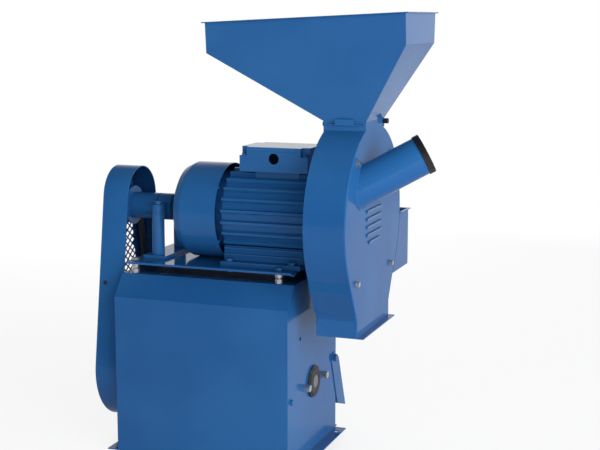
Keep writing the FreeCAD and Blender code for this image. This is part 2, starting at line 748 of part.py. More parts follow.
def mill_outline(x, offset):
    """Round casing with sides tangent to it, straight down to the chute."""
    radius = mill_radius - offset
    half = chute_half_width - offset
    shoulder = Vector(x, half, chute_shoulder_z)
    down = motor_axis_z - chute_shoulder_z
    reach = math.hypot(half, down)
    from_down = math.atan2(half, down) + math.acos(radius / reach)
    touch = (radius * math.sin(from_down), motor_axis_z - radius * math.cos(from_down))
    flat = band_bottom_z
    flat_half = math.sqrt(radius ** 2 - (flat - motor_axis_z) ** 2)
    middle = math.radians(20)
    arcs = []
    for side in (1, -1):
        arcs.append(Part.Arc(Vector(x, side * touch[0], touch[1]),
                             Vector(x, side * radius * math.cos(middle), motor_axis_z + radius * math.sin(middle)),
                             Vector(x, side * flat_half, flat)).toShape())
    points = [Vector(x, flat_half, flat), Vector(x, -flat_half, flat)]
    edges = [arcs[0], Part.LineSegment(points[0], points[1]).toShape(), arcs[1]]
    chain = [Vector(x, -touch[0], touch[1]), Vector(x, -half, shoulder.z), Vector(x, -half, chute_bottom_z),
             Vector(x, half, chute_bottom_z), shoulder, Vector(x, touch[0], touch[1])]
    for a, b in zip(chain, chain[1:]):
        edges.append(Part.LineSegment(a, b).toShape())
    return Part.Wire(Part.__sortEdges__(edges))


def mill_slab(x, offset):
    return Part.Face(mill_outline(x[0], offset)).extrude(Vector(x[1] - x[0], 0, 0))


def bolt_corners():
    return [(sy * cover_bolt_y, motor_axis_z + (upper_cover_bolt if sz > 0 else -lower_cover_bolt))
            for sy, sz in signs()]


def tube_frame():
    turn = math.radians(tube_turn)
    rise = math.radians(tube_rise)
    along = Vector(math.cos(rise) * math.cos(turn), math.cos(rise) * math.sin(turn), math.sin(rise))
    base = Vector(cover_face, tube_base_y, tube_base_z)
    return base, along


def along_tube(start, end, radius):
    base, along = tube_frame()
    return Part.makeCylinder(radius, end - start, base + along * start, along)


def mill():
    inside = (mill_start + mill_wall, cover_back)
    neck_hole_depth = 35.5
    rim = mill_slab((mill_start, cover_back), 0).cut(mill_slab(inside, mill_wall))
    chute_x = (mill_start + mill_wall, cover_back)
    chute_y = (-chute_half_width + mill_wall, chute_half_width - mill_wall)
    rim = rim.cut(block(chute_x, chute_y, (chute_bottom_z, chute_shoulder_z)))
    neck_hole = block((mill_start + mill_wall, cover_back), (-neck_half_depth, neck_half_depth),
                      (band_bottom_z - neck_hole_depth, band_bottom_z))
    shaft_hole = rod_x((mill_start, mill_start + mill_wall), 0, motor_axis_z, 18.0)
    keep("mill_casing", rim.cut(apart([neck_hole, shaft_hole])))

    spacer_x = (mill_start + mill_wall, cover_back)
    bolt_length = 24.0
    spacers = []
    bolts = []
    for y, z in bolt_corners():
        hole = rod_x((cover_back - bolt_length, cover_back), y, z, cover_bolt_radius)
        spacers.append(rod_x(spacer_x, y, z, boss_radius).cut(hole))
        washer = rod_x((cover_face, cover_face + 1.6), y, z, 6.5)
        bolt = hex_bolt_x(cover_face + 1.6, y, z, cover_bolt_radius, 10.0, 4.5, bolt_length + cover_thickness, 1)
        bolts.append(joined([washer, bolt]))
    keep("cover_spacers", apart(spacers))
    keep("cover_bolts", apart(bolts))
    mill_cover()
    grinding_drum()


def mill_cover():
    plate = mill_slab((cover_back, cover_face), 0)
    edges = [e for e in plate.Edges if abs(e.CenterOfMass.x - cover_face) < 0.01
             and e.CenterOfMass.z > chute_bottom_z + 1 and abs(e.CenterOfMass.z - band_bottom_z) > 1]
    plate = plate.makeFillet(cover_thickness * 0.6, edges)
    lip = block((cover_face - cover_thickness, cover_face + bag_lip),
                (-chute_half_width, chute_half_width), (chute_bottom_z, chute_bottom_z + 2.0))
    cuts = [rod_x((cover_back, cover_face), y, z, cover_bolt_radius + screw_gap) for y, z in bolt_corners()]
    cuts.append(along_tube(-3 * tube_radius, 3 * tube_radius, tube_radius - tube_wall))
    hoods = []
    half = louvre_length / 2
    for number in range(louvre_count):
        z = motor_axis_z + 19.0 - number * louvre_pitch
        reach = half if number < louvre_count - 1 else half * 0.72
        span = (-reach - 4.0, reach - 4.0)
        cuts.append(block((cover_back, cover_face), (span[0] + 1.5, span[1] - 1.5), (z - 3.5, z + 1.5)))
        strip = [(cover_face, z - 6.0), (cover_face, z - 3.5), (cover_face + louvre_rise - 1.2, z + 2.0),
                 (cover_face + louvre_rise, z + 1.0)]
        hoods.append(prism_y(strip, span))
        cheek = [(cover_face, z - 6.0), (cover_face, z + 2.0), (cover_face + louvre_rise - 1.2, z + 2.0),
                 (cover_face + louvre_rise, z + 1.0)]
        hoods.append(prism_y(cheek, (span[0], span[0] + 1.5)))
        hoods.append(prism_y(cheek, (span[1] - 1.5, span[1])))
    keep("mill_cover", joined([plate, lip] + hoods).cut(apart(cuts)))

    base, along = tube_frame()
    wall = along_tube(-2 * tube_radius, tube_length, tube_radius)
    wall = wall.cut(along_tube(-2 * tube_radius, tube_length, tube_radius - tube_wall))
    beyond = block((cover_face, cover_face + 400.0), (-400.0, 400.0), (200.0, 900.0))
    keep("feed_tube", wall.common(beyond))
    sleeve = along_tube(tube_length - collar_length + collar_wall, tube_length, tube_radius + collar_wall)
    sleeve = sleeve.cut(along_tube(tube_length - collar_length, tube_length, tube_radius))
    end = along_tube(tube_length, tube_length + collar_wall, tube_radius + collar_wall)
    end = end.cut(along_tube(tube_length, tube_length + collar_wall, tube_radius - tube_wall))
    keep("tube_collar", joined([sleeve, end]))


def sector(x, outer, inner, start, end):
    """Part of a ring about the motor axis, between two angles from +Y."""
    ring = ring_x(x, 0, motor_axis_z, outer, inner)
    far = 2 * outer
    a, b = math.radians(start), math.radians(end)
    c = (a + b) / 2
    corners = [(0, motor_axis_z)]
    for angle in (a, (a + c) / 2, c, (b + c) / 2, b):
        corners.append((far * math.cos(angle), motor_axis_z + far * math.sin(angle)))
    return ring.common(prism_x(corners, x))


def grinding_drum():
    x = (mill_start + mill_wall, cover_back)
    plates = []
    for start, end in ((4.0, 66.0), (114.0, 176.0)):
        plate = sector(x, drum_radius, drum_tooth_radius + 2.0, start, end)
        teeth = []
        for step in range(8):
            a = start + 4.0 + step * 7.7
            tooth = block(x, (drum_tooth_radius, drum_tooth_radius + 2.5), (-2.5, 2.5))
            tooth.rotate(Vector(0, 0, 0), Vector(1, 0, 0), a)
            tooth.translate(Vector(0, 0, motor_axis_z))
            teeth.append(tooth)
        plates.append(joined([plate] + teeth))
    keep("breaker_plates", apart(plates))

    screen = sector(x, drum_radius, drum_radius - screen_thickness, 182.0, 358.0)
    holes = []
    for row in range(4):
        for step in range(15):
            a = 194.0 + step * 10.9
            middle_x = x[0] + (x[1] - x[0]) * (row + 0.5) / 4
            hole = block((middle_x - 3.5, middle_x + 3.5), (drum_radius - 6.0, drum_radius + 6.0), (-3.5, 3.5))
            hole.rotate(Vector(0, 0, 0), Vector(1, 0, 0), a)
            hole.translate(Vector(0, 0, motor_axis_z))
            holes.append(hole)
    keep("grinding_screen", screen.cut(apart(holes)))


def pin_places():
    reach = pin_circle_radius / math.sqrt(2)
    return [(sy * reach, motor_axis_z + sz * reach) for sy, sz in signs()]


def hammer_rotor():
    start = mill_start + mill_wall + rotor_start_gap
    end = start + rotor_hub_length
    hub = rod_x((start, end), 0, motor_axis_z, rotor_hub_radius)
    bore = rod_x((start, end), 0, motor_axis_z, shaft_radius)
    middle = (start + end) / 2
    side_gap = 2.0
    half = hammer_width / 2 + side_gap
    disc_spans = [(middle - half - rotor_disc_thickness, middle - half),
                  (middle + half, middle + half + rotor_disc_thickness)]
    discs = []
    for span in disc_spans:
        disc = ring_x(span, 0, motor_axis_z, rotor_disc_radius, rotor_hub_radius)
        holes = [rod_x(span, y, z, pin_radius) for y, z in pin_places()]
        discs.append(disc.cut(apart(holes)))
    keep("rotor_hub", joined([hub] + discs).cut(bore))
    pin_span = (disc_spans[0][0] - 3.0, disc_spans[1][1] + 3.0)
    pins = []
    for y, z in pin_places():
        pin = rod_x(pin_span, y, z, pin_radius)
        heads = [rod_x((pin_span[0], pin_span[0] + 3.0), y, z, pin_radius + 2.5),
                 rod_x((pin_span[1] - 3.0, pin_span[1]), y, z, pin_radius + 2.5)]
        pins.append(joined([pin] + heads))
    keep("hammer_pins", apart(pins))
    washer = rod_x((end, end + 3.0), 0, motor_axis_z, 18.0)
    bolt = hex_bolt_x(end + 3.0, 0, motor_axis_z, 6.0, 18.0, 6.0, 23.0, 1)
    keep("rotor_bolt", joined([washer, bolt]))
    span = (middle - hammer_width / 2, middle + hammer_width / 2)
    for number, (y, z) in enumerate(pin_places(), start=1):
        eye = rod_x(span, y, z, hammer_eye_radius)
        bar = block(span, (y - hammer_half_height, y + hammer_half_height), (z - hammer_reach, z))
        notches = []
        for side in (-1, 1):
            edge = y + side * hammer_half_height
            notch_y = (min(edge, edge - side * 4.0), max(edge, edge - side * 4.0))
            notches.append(block(span, notch_y, (z - hammer_reach, z - hammer_reach + 8.0)))
        hole = rod_x(span, y, z, pin_radius + running_gap)
        keep("hammer_%d" % number, joined([eye, bar]).cut(apart(notches + [hole])))


# Neck, gate and hopper.

neck_x = (mill_start + mill_wall, cover_back)
neck_inner_x = (neck_x[0] + neck_wall, neck_x[1] - neck_wall)
band_x = (mill_start - 2.0, cover_face)
knob_y = 50.0
knob_z = gate_bottom_z + gate_thickness / 2


def neck_and_gate():
    low = motor_axis_z + math.sqrt(drum_radius ** 2 - neck_half_depth ** 2) + 2.0
    inner_half = neck_half_depth - neck_wall
    collar = block(neck_x, (-neck_half_depth, neck_half_depth), (low, band_bottom_z))
    band = block(band_x, (-band_half_depth, band_half_depth), (band_bottom_z - band_skirt, band_top_z))
    band = band.cut(mill_slab((mill_start - 0.3, cover_face + 1.0), -0.3))
    passage = block(neck_inner_x, (-inner_half, inner_half), (low, band_top_z))
    slot_z = (gate_bottom_z - 0.3, gate_bottom_z + gate_thickness + 0.3)
    slot_x = (neck_inner_x[0] - 1.0, neck_inner_x[1] + 1.0)
    slot = block(slot_x, (-band_half_depth, inner_half + 1.0), slot_z)
    ledges = [block((neck_inner_x[0], neck_inner_x[0] + 5.0), (-inner_half, inner_half), (band_bottom_z, slot_z[0])),
              block((neck_inner_x[1] - 5.0, neck_inner_x[1]), (-inner_half, inner_half), (band_bottom_z, slot_z[0]))]
    knob_hole = rod_x((neck_inner_x[1], cover_face), knob_y, knob_z, 3.0 + running_gap)
    frame = joined([collar, band]).cut(apart([passage, slot]))
    keep("throat_frame", joined([frame] + ledges).cut(knob_hole))

    gate_x = (neck_inner_x[0] - 0.5, neck_inner_x[1] + 0.5)
    plate = block(gate_x, (-band_half_depth - 4.0, inner_half + 0.5), (gate_bottom_z, gate_bottom_z + gate_thickness))
    lip_x = (238.0, 274.0)
    lip = block(lip_x, (-band_half_depth - 6.0, -band_half_depth - 4.0), (gate_bottom_z, gate_bottom_z + 11.0))
    keep("slide_gate", joined([plate, lip]))

    grip = rod_x((cover_face + 0.6, cover_face + 10.0), knob_y, knob_z, 5.0)
    for number in range(6):
        a = math.radians(60 * number)
        grip = grip.cut(rod_x((cover_face, cover_face + 11.0), knob_y + 5.9 * math.sin(a), knob_z + 5.9 * math.cos(a), 1.6))
    shank = rod_x((neck_inner_x[1] + 0.8, cover_face + 0.6), knob_y, knob_z, 3.0)
    keep("gate_lock_knob", joined([grip, shank]))


def hopper_form(gap, bottom_z, top_rise):
    """The hopper's outer form, or the space in it: a frustum below a band, all flat faces."""
    x0, x1 = band_x[0] + gap, band_x[1] - gap
    half = band_half_depth - gap
    left, right = hopper_left + gap, hopper_right - gap
    deep = hopper_half_depth - gap
    slope = (deep - half) / (hopper_fold_right_z - band_top_z)
    shallow = half + slope * (hopper_fold_left_z - band_top_z)
    start_half = half + slope * (bottom_z - band_top_z)
    run = (bottom_z - band_top_z) / (hopper_fold_right_z - band_top_z)
    run_left = (bottom_z - band_top_z) / (hopper_fold_left_z - band_top_z)
    start_x0 = x0 + (left - x0) * run_left
    start_x1 = x1 + (right - x1) * run
    flare = hopper_band_flare
    rise = hopper_band_height + top_rise
    flare = flare * rise / hopper_band_height

    def level(xl, xr, yl, yr, zl, zr):
        return [Vector(xl, -yl, zl), Vector(xr, -yr, zr), Vector(xr, yr, zr), Vector(xl, yl, zl)]

    base = level(start_x0, start_x1, start_half, start_half, bottom_z, bottom_z)
    fold = level(left, right, shallow, deep, hopper_fold_left_z, hopper_fold_right_z)
    rim = level(left, right, shallow + flare, deep + flare, hopper_fold_left_z + rise, hopper_fold_right_z + rise)

    def walls(low, high):
        faces = []
        for a in range(4):
            b = (a + 1) % 4
            corners = [low[a], low[b], high[b], high[a]]
            faces.append(Part.Face(Part.makePolygon(corners + [corners[0]])))
        for ring in (low, high):
            faces.append(Part.Face(Part.makePolygon(ring + [ring[0]])))
        return Part.makeSolid(Part.makeShell(faces))

    return joined([walls(base, fold), walls(fold, rim)])


def hopper():
    outside = hopper_form(0.0, band_top_z, 0.0)
    space = hopper_form(hopper_sheet, band_top_z + hopper_sheet, 3.0)
    opening = block(neck_inner_x, (-neck_half_depth + neck_wall, neck_half_depth - neck_wall),
                    (band_top_z, band_top_z + hopper_sheet))
    drop = hopper_fold_right_z - hopper_fold_left_z
    slope = drop / (hopper_right - hopper_left)
    x0, x1 = hopper_left - hopper_lip, hopper_right + hopper_lip
    z0 = hopper_fold_left_z + hopper_band_height - hopper_lip * slope
    z1 = z0 + (x1 - x0) * slope
    half_right = hopper_half_depth + hopper_band_flare + hopper_lip
    half_left = half_right - (hopper_half_depth - band_half_depth) / (hopper_fold_right_z - band_top_z) * drop
    reach = 2 * half_right
    slab = prism_y([(x0, z0 - hopper_sheet), (x1, z1 - hopper_sheet), (x1, z1), (x0, z0)], (-reach, reach))
    plan = prism_z([(x0, -half_left), (x1, -half_right), (x1, half_right), (x0, half_left)], (z0 - 20.0, z1 + 20.0))
    keep("hopper", joined([outside, slab.common(plan)]).cut(apart([space, opening])))

    seat = band_x[0]
    bolt_z = band_bottom_z + 6.0
    places = [(-neck_half_depth + 6.0, bolt_z), (neck_half_depth - 6.0, bolt_z)]
    bolts = []
    for y, z in places:
        bolts.append(hex_bolt_x(seat, y, z, 2.5, 8.0, 4.0, 1.5, -1))
    keep_with("panel_screws", apart(bolts))
    throat = PIECES["throat_frame"]
    holes = [rod_x((seat, seat + 1.6), y, z, 2.5 + screw_gap) for y, z in places]
    keep("throat_frame", throat.cut(apart(holes)))


def ear_trough():
    inner_y = mill_radius + 3.0
    plan = [(trough_left, rear_face), (right_face + 3.0, rear_face), (mill_start - 12.0, inner_y),
            (cover_face, inner_y), (cover_face, trough_outer_y), (trough_left, trough_outer_y)]
    ramp_start = inlet_x[1] + 4.0
    ramp_end = mill_start - 2.0
    high = trough_top_z + 60.0

    def above(raise_by):
        return [(trough_left - 10.0, trough_low_floor_z + raise_by), (ramp_start, trough_low_floor_z + raise_by),
                (ramp_end, trough_floor_z + raise_by), (cover_face + 10.0, trough_floor_z + raise_by),
                (cover_face + 10.0, high), (trough_left - 10.0, high)]

    deep = (rear_face - 10.0, trough_outer_y + 10.0)
    outer = prism_z(plan, (trough_low_floor_z - 1.0, trough_top_z)).common(prism_y(above(0.0), deep))
    space = prism_z(inset(plan, sheet), (trough_low_floor_z - 1.0, high)).common(prism_y(above(sheet), deep))
    window = block(inlet_x, (rear_face, rear_face + sheet), inlet_z)
    lip_z = (trough_top_z - sheet, trough_top_z)
    lips = [block((trough_left, cover_face + trough_lip), (trough_outer_y, trough_outer_y + trough_lip), lip_z),
            block((cover_face, cover_face + trough_lip), (inner_y, trough_outer_y + trough_lip), lip_z)]
    floor = block((mill_start, cover_face), (chute_half_width, inner_y), (trough_floor_z, trough_floor_z + sheet))
    cheek = block((cover_face - sheet, cover_face), (chute_half_width, inner_y), (trough_floor_z, trough_top_z))
    beside_mill = block((mill_start, cover_face - sheet), (inner_y, inner_y + sheet),
                        (trough_floor_z + sheet, trough_top_z))
    around_mill = mill_slab((mill_start - 1.0, cover_face + 1.0), -trough_gap)
    trough = joined([outer.cut(beside_mill), floor, cheek] + lips)
    keep("ear_trough", trough.cut(apart([space, window])).cut(around_mill))


# Sheller.

def flange_bearing(outer, inward):
    """Two-bolt flange unit: a boss outside the panel, a flange inside it."""
    inner = outer + inward * sheet
    boss_x = (min(inner, outer - inward * 6.0), max(inner, outer - inward * 6.0))
    flange_x = (min(inner, inner + inward * 7.0), max(inner, inner + inward * 7.0))
    boss = rod_x(boss_x, 0, sheller_axis_z, bearing_hole_radius - 0.3)
    lugs = [rod_x(flange_x, side * bearing_bolt_offset, sheller_axis_z, 12.0) for side in (-1, 1)]
    body = block(flange_x, (-bearing_bolt_offset, bearing_bolt_offset), (sheller_axis_z - 12.0, sheller_axis_z + 12.0))
    middle = rod_x(flange_x, 0, sheller_axis_z, 32.0)
    rim = ring_x((min(outer, outer - inward * 4.0), max(outer, outer - inward * 4.0)), 0, sheller_axis_z,
                 31.0, bearing_hole_radius - 0.3)
    holes = [rod_x(flange_x, side * bearing_bolt_offset, sheller_axis_z, bearing_bolt_radius + screw_gap)
             for side in (-1, 1)]
    reach = (min(boss_x[0], flange_x[0]), max(boss_x[1], flange_x[1]))
    holes.append(rod_x(reach, 0, sheller_axis_z, sheller_shaft_radius + running_gap))
    return joined([boss, body, middle, rim] + lugs).cut(apart(holes))


def bearing_bolts(outer, inward):
    bolts = []
    for side in (-1, 1):
        y = side * bearing_bolt_offset
        sleeve_x = (min(outer, outer - inward * 8.0), max(outer, outer - inward * 8.0))
        sleeve = rod_x(sleeve_x, y, sheller_axis_z, 7.0)
        bolt = hex_bolt_x(outer - inward * 8.0, y, sheller_axis_z, bearing_bolt_radius, 13.0, 5.0, 24.0, -inward)
        bolts.append(joined([sleeve, bolt]))
    return bolts


def sheller():
    keep_with("sheller_bearings", flange_bearing(right_face, -1))
    keep_with("sheller_bearings", flange_bearing(left_face, 1))
    keep("sheller_bearing_bolts", apart(bearing_bolts(right_face, -1) + bearing_bolts(left_face, 1)))
    shaft_x = (pulley_middle - pulley_width / 2, right_face + 6.0)
    keep("sheller_shaft", rod_x(shaft_x, 0, sheller_axis_z, sheller_shaft_radius))

    face = disc_x + disc_thickness
    plate = rod_x((disc_x, face), 0, sheller_axis_z, disc_radius)
    hub = rod_x((disc_x - disc_hub_length, disc_x), 0, sheller_axis_z, 26.0)
    teeth = []
    for radius, count in ((48.0, 9), (68.0, 13), (88.0, 17), (104.0, 21)):
        for number in range(count):
            a = 2 * math.pi * (number + radius / 40.0) / count
            y, z = radius * math.sin(a), sheller_axis_z + radius * math.cos(a)
            teeth.append(stud(face, y, z, a))
    disc = joined([plate, hub] + teeth)
    keep("shelling_disc", disc.cut(rod_x((disc_x - disc_hub_length, face), 0, sheller_axis_z, sheller_shaft_radius)))
    pressure_plate()
    cob_grate()
    cob_flap()


def stud(face, y, z, angle):
    """A four-sided pointed tooth standing on the disc's face."""
    half = 4.0
    ring = []
    for corner in range(4):
        a = angle + math.radians(90 * corner)
        ring.append(Vector(face - 1.0, y + half * math.sin(a) * 1.3, z + half * math.cos(a) * 1.3))
    tip = []
    for corner in range(4):
        a = angle + math.radians(90 * corner)
        tip.append(Vector(face + disc_tooth_height, y + 1.2 * math.sin(a), z + 1.2 * math.cos(a)))
    faces = [Part.Face(Part.makePolygon(ring + [ring[0]])), Part.Face(Part.makePolygon(tip + [tip[0]]))]
    for a in range(4):
        b = (a + 1) % 4
        corners = [ring[a], ring[b], tip[b], tip[a]]
        faces.append(Part.Face(Part.makePolygon(corners + [corners[0]])))
    return Part.makeSolid(Part.makeShell(faces))


def pressure_plate():
    low, high = pressure_plate_z
    wall_x = right_face - sheet
    back_y = pressure_pivot_y
    lug_gap = 0.5
    eye = 10.0
    plate = block((pressure_plate_x, pressure_plate_x + 5.0), (-88.0, back_y - eye - 3.0), pressure_plate_z)
    ribs = [block((pressure_plate_x - 3.0, pressure_plate_x), (-84.0, back_y - 18.0), (z, z + 5.0))
            for z in range(int(low) + 8, int(high) - 8, 16)]
    arm = block((pressure_plate_x, pressure_pivot_x), (back_y - eye - 5.0, back_y), (low + 25.0, high - 25.0))
    barrel = rod_z(pressure_pivot_x, back_y, (low + 25.0, high - 25.0), eye)
    cup = rod_x((pressure_plate_x + 5.0, pressure_plate_x + 9.0), spring_y, spring_z, spring_radius - spring_wire - 1.5)
    hole = rod_z(pressure_pivot_x, back_y, (low, high), pressure_pin_radius + running_gap)
    keep("pressure_plate", joined([plate, arm, barrel, cup] + ribs).cut(hole))

    lug_spans = [(low + 25.0 - lug_gap - 5.0, low + 25.0 - lug_gap), (high - 25.0 + lug_gap, high - 20.0 + lug_gap)]
    base = block((wall_x - 4.0, wall_x), (back_y - 22.0, back_y + 22.0), (low, high))
    lugs = []
    for span in lug_spans:
        lugs.append(block((pressure_pivot_x, wall_x - 4.0), (back_y - eye, back_y + eye), span))
        lugs.append(rod_z(pressure_pivot_x, back_y, span, eye))
    holes = [rod_z(pressure_pivot_x, back_y, (low, high), pressure_pin_radius)]
    keep_with("pressure_bracket", joined([base] + lugs).cut(apart(holes)))
    pin_z = (lug_spans[0][0] - 3.0, lug_spans[1][1])
    pin = rod_z(pressure_pivot_x, back_y, pin_z, pressure_pin_radius)
    head = rod_z(pressure_pivot_x, back_y, (pin_z[1], pin_z[1] + 4.0), pressure_pin_radius + 3.0)
    keep_with("pressure_bracket", joined([pin, head]))

    seat_x = wall_x - 22.0
    screw = rod_x((seat_x, wall_x - 6.0), spring_y, spring_z, 6.0)
    screw = screw.cut(rod_x((wall_x - 12.0, wall_x - 6.0), spring_y, spring_z, 3.0))
    cap = rod_x((seat_x - 3.0, seat_x), spring_y, spring_z, spring_radius + spring_wire)
    keep("adjusting_screw", joined([screw, cap]))
    bridge = [(wall_x, spring_z - 30.0), (wall_x - 4.0, spring_z - 30.0), (wall_x - 4.0, spring_z - 18.0),
              (wall_x - 16.0, spring_z - 18.0), (wall_x - 16.0, spring_z + 18.0), (wall_x - 4.0, spring_z + 18.0),
              (wall_x - 4.0, spring_z + 30.0), (wall_x, spring_z + 30.0), (wall_x, spring_z + 14.0),
              (wall_x - 12.0, spring_z + 14.0), (wall_x - 12.0, spring_z - 14.0), (wall_x, spring_z - 14.0)]
    bridge = prism_y(bridge, (spring_y - 15.0, spring_y + 15.0))
    keep_with("pressure_bracket", bridge.cut(rod_x((wall_x - 16.0, wall_x - 12.0), spring_y, spring_z, 6.0)))

    start = pressure_plate_x + 5.0 + spring_wire + 0.1
    length = seat_x - 3.0 - spring_wire - 0.1 - start
    steps_per_turn = 12
    sections = []
    for step in range(spring_turns * steps_per_turn + 1):
        a = 2 * math.pi * step / steps_per_turn
        x = start + length * step / (spring_turns * steps_per_turn)
        corners = []
        for dx, dr in ((0, -1), (1, 0), (0, 1), (-1, 0)):
            r = spring_radius + dr * spring_wire
            corners.append(Vector(x + dx * spring_wire, spring_y + r * math.sin(a), spring_z + r * math.cos(a)))
        sections.append(Part.makePolygon(corners + [corners[0]]))
    keep("pressure_spring", Part.makeLoft(sections, True, True))


def cob_grate():
    """Round bars sloping down to the rear outlet; grain drops between them."""
    x0, x1 = disc_x + disc_thickness + disc_tooth_height + 4.0, outlet_x[1]
    front_y, back_y = front_face + 2 * sheet, rear_face - sheet
    front_z, back_z = outlet_z[0] + 50.0, outlet_z[0] + 6.0
    count = 6
    length = math.hypot(back_y - front_y, back_z - front_z)
    direction = Vector(0, back_y - front_y, back_z - front_z)
    bars = []
    for number in range(count):
        x = x0 + (x1 - x0) * (number + 0.5) / count
        bars.append(Part.makeCylinder(3.0, length, Vector(x, front_y, front_z), direction))
    ends = [block((x0, x1), (front_y, front_y + 6.0), (front_z - 14.0, front_z + 2.0)),
            block((x0, x1), (back_y - 6.0, back_y), (outlet_z[0] - 10.0, back_z + 1.0))]
    grate = joined(bars + ends)
    keep("cob_grate", grate.common(block((x0, x1), (front_y, back_y), (0, front_z + 20.0))))


def cob_flap():
    t = 1.5
    tip = (flap_pivot_y + flap_reach, flap_pivot_z - flap_drop)
    heel = (flap_pivot_y + 28.0, flap_pivot_z - 5.0)
    cheek = [(flap_pivot_y - 17.0, flap_pivot_z), (tip[0] - 50.0, tip[1] + 16.0), tip, heel,
             (flap_pivot_y, flap_pivot_z + 6.0)]
    left = (outlet_x[0] + 1.0, outlet_x[0] + 1.0 + t)
    right = (right_face + 0.3, right_face + 0.3 + t)
    parts = []
    for span in (left, right):
        parts.append(prism_x(cheek, span))
        parts.append(rod_x(span, flap_pivot_y, flap_pivot_z, 12.0))
    back = bent_strip([heel, tip], -t)
    parts.append(prism_x(back, (left[0], right[1])))
    holes = [rod_x(span, flap_pivot_y, flap_pivot_z, flap_pin_radius + running_gap) for span in (left, right)]
    keep("cob_flap", joined(parts).cut(apart(holes)))

    lug = (left[0] - 3.5, left[0] - 1.0)
    bracket = joined([
        block((lug[0] - 16.0, lug[1]), (rear_face - 2 * sheet, rear_face - sheet), (flap_pivot_z - 12.0, flap_pivot_z + 12.0)),
        block(lug, (flap_pivot_y - 10.0, rear_face - sheet), (flap_pivot_z - 12.0, flap_pivot_z + 12.0))])
    keep_with("flap_pivots", bracket.cut(rod_x(lug, flap_pivot_y, flap_pivot_z, flap_pin_radius)))
    inner = joined([rod_x((lug[0] - 2.0, left[1] + 0.3), flap_pivot_y, flap_pivot_z, flap_pin_radius),
                    rod_x((left[1] + 0.3, left[1] + 4.3), flap_pivot_y, flap_pivot_z, flap_pin_radius + 3.0)])
    outer = hex_bolt_x(right[1] + 0.3, flap_pivot_y, flap_pivot_z, flap_pin_radius, 13.0, 5.5, 14.0, 1)
    nut = prism_x(hexagon((flap_pivot_y, flap_pivot_z), across_flats(10.0)), (right_face - sheet - 5.0, right_face - sheet))
    keep_with("flap_pivots", apart([inner, joined([outer, nut])]))


cabinet()
motor_plate()
belt_drive()
guard()
outboard_bearing()
motor()
mill()
hammer_rotor()
neck_and_gate()
hopper()
ear_trough()
sheller()

os.makedirs("parts", exist_ok=True)
for name, shape in PIECES.items():
    bad = [s for s in shape.Solids if not s.isValid() or s.Volume <= 0]
    if bad or not shape.Solids:
        print("check", name, len(shape.Solids), "solids,", len(bad), "bad")
    shape.exportStep("parts/%s.step" % name)
print(len(PIECES), "pieces")
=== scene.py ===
import math
import bmesh
import bpy
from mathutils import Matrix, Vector
from mathutils.bvhtree import BVHTree


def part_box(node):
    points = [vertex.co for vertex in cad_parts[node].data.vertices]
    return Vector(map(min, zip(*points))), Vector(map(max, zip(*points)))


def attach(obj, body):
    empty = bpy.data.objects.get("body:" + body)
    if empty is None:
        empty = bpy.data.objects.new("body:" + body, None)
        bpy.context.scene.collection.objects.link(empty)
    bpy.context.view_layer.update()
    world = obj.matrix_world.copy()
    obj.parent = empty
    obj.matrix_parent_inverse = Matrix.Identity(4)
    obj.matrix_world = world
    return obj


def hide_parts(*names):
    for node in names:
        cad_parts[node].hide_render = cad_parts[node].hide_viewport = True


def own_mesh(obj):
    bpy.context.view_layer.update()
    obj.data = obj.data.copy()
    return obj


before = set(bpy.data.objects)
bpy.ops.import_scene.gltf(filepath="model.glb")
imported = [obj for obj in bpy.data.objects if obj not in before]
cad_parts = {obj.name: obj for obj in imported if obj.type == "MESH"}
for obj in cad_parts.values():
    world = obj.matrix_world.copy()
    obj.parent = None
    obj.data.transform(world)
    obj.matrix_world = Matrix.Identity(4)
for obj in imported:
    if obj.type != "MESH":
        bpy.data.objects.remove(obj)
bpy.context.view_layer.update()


# Cabinet of sheet steel: front panel with its sloped top, rear panel, top rail and two side panels.
# Folded from two-millimetre sheet, screwed through the side flanges and sprayed with gloss blue enamel.
# The top rail lies under the motor plate and gets a dull, much darker blue as painted shade under the
# plate.

class Wire:
    """A shader socket that can be written into a sum."""

    def __init__(self, finish, socket):
        self.finish = finish
        self.socket = socket

    def sum_with(self, operation, first, second):
        return self.finish.add("Math", {"operation": operation}, at0=first, at1=second)

    def __add__(self, other):
        return self.sum_with("ADD", self, other)

    def __radd__(self, other):
        return self.sum_with("ADD", other, self)

    def __sub__(self, other):
        return self.sum_with("SUBTRACT", self, other)

    def __rsub__(self, other):
        return self.sum_with("SUBTRACT", other, self)

    def __mul__(self, other):
        return self.sum_with("MULTIPLY", self, other)

    def __rmul__(self, other):
        return self.sum_with("MULTIPLY", other, self)


